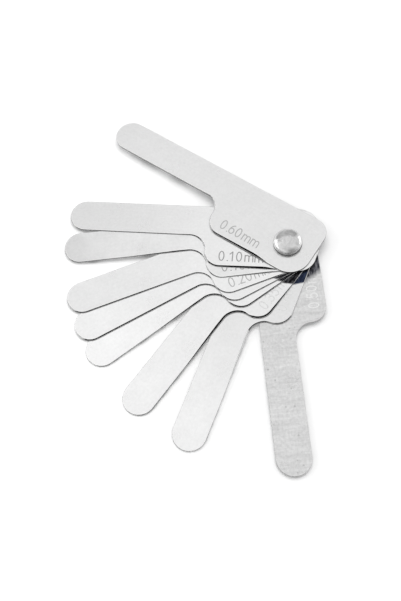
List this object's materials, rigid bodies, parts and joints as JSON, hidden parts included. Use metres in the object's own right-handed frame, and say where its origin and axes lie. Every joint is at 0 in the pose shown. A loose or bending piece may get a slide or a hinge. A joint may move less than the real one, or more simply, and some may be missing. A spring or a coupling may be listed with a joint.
{
  "type": "feeler gauge",
  "caption": "Feeler gauge: flat steel leaves with a wide root and a narrow round-ended blade, each of another thickness, fanned out on one domed pivot post.",
  "frame": {"origin": "on the pivot axis, at the underside of the screw head, which the gauge rests on", "axes": "+Z along the pivot axis, out of the domed head; the leaves lie parallel to XY and fan from 131 to 260 degrees counterclockwise from +X, thickest leaf on top; +Y is away from the viewer's side of the fan"},
  "size_m": [0.103, 0.156, 0.0078],
  "materials": {
    "leaf_060": "fine satin, lightly brushed",
    "leaf_010": "fine satin, lightly brushed",
    "leaf_015": "fine satin, lightly brushed",
    "leaf_020": "fine satin, lightly brushed",
    "leaf_025": "fine satin, lightly brushed",
    "leaf_030": "fine satin, lightly brushed",
    "leaf_035": "fine satin, lightly brushed",
    "leaf_040": "fine satin, lightly brushed",
    "leaf_050": "fine satin, lightly brushed",
    "pivot_post": "polished plating with faint handling marks",
    "pivot_screw": "polished plating with faint handling marks"
  },
  "bodies": {
    "pivot": {"pivot_post": "pivot_post", "pivot_screw": "pivot_screw"},
    "leaf_060": {"leaf_060": "leaf_060"},
    "leaf_010": {"leaf_010": "leaf_010"},
    "leaf_015": {"leaf_015": "leaf_015"},
    "leaf_020": {"leaf_020": "leaf_020"},
    "leaf_025": {"leaf_025": "leaf_025"},
    "leaf_030": {"leaf_030": "leaf_030"},
    "leaf_035": {"leaf_035": "leaf_035"},
    "leaf_040": {"leaf_040": "leaf_040"},
    "leaf_050": {"leaf_050": "leaf_050"}
  },
  "joints": [
    {"name": "leaf_060_turn", "type": "hinge", "parent": "pivot", "child": "leaf_060", "pos_m": [0, 0, 0], "axis": [0, 0, 1], "continuous": true},
    {"name": "leaf_010_turn", "type": "hinge", "parent": "pivot", "child": "leaf_010", "pos_m": [0, 0, 0], "axis": [0, 0, 1], "continuous": true},
    {"name": "leaf_015_turn", "type": "hinge", "parent": "pivot", "child": "leaf_015", "pos_m": [0, 0, 0], "axis": [0, 0, 1], "continuous": true},
    {"name": "leaf_020_turn", "type": "hinge", "parent": "pivot", "child": "leaf_020", "pos_m": [0, 0, 0], "axis": [0, 0, 1], "continuous": true},
    {"name": "leaf_025_turn", "type": "hinge", "parent": "pivot", "child": "leaf_025", "pos_m": [0, 0, 0], "axis": [0, 0, 1], "continuous": true},
    {"name": "leaf_030_turn", "type": "hinge", "parent": "pivot", "child": "leaf_030", "pos_m": [0, 0, 0], "axis": [0, 0, 1], "continuous": true},
    {"name": "leaf_035_turn", "type": "hinge", "parent": "pivot", "child": "leaf_035", "pos_m": [0, 0, 0], "axis": [0, 0, 1], "continuous": true},
    {"name": "leaf_040_turn", "type": "hinge", "parent": "pivot", "child": "leaf_040", "pos_m": [0, 0, 0], "axis": [0, 0, 1], "continuous": true},
    {"name": "leaf_050_turn", "type": "hinge", "parent": "pivot", "child": "leaf_050", "pos_m": [0, 0, 0], "axis": [0, 0, 1], "continuous": true}
  ]
}
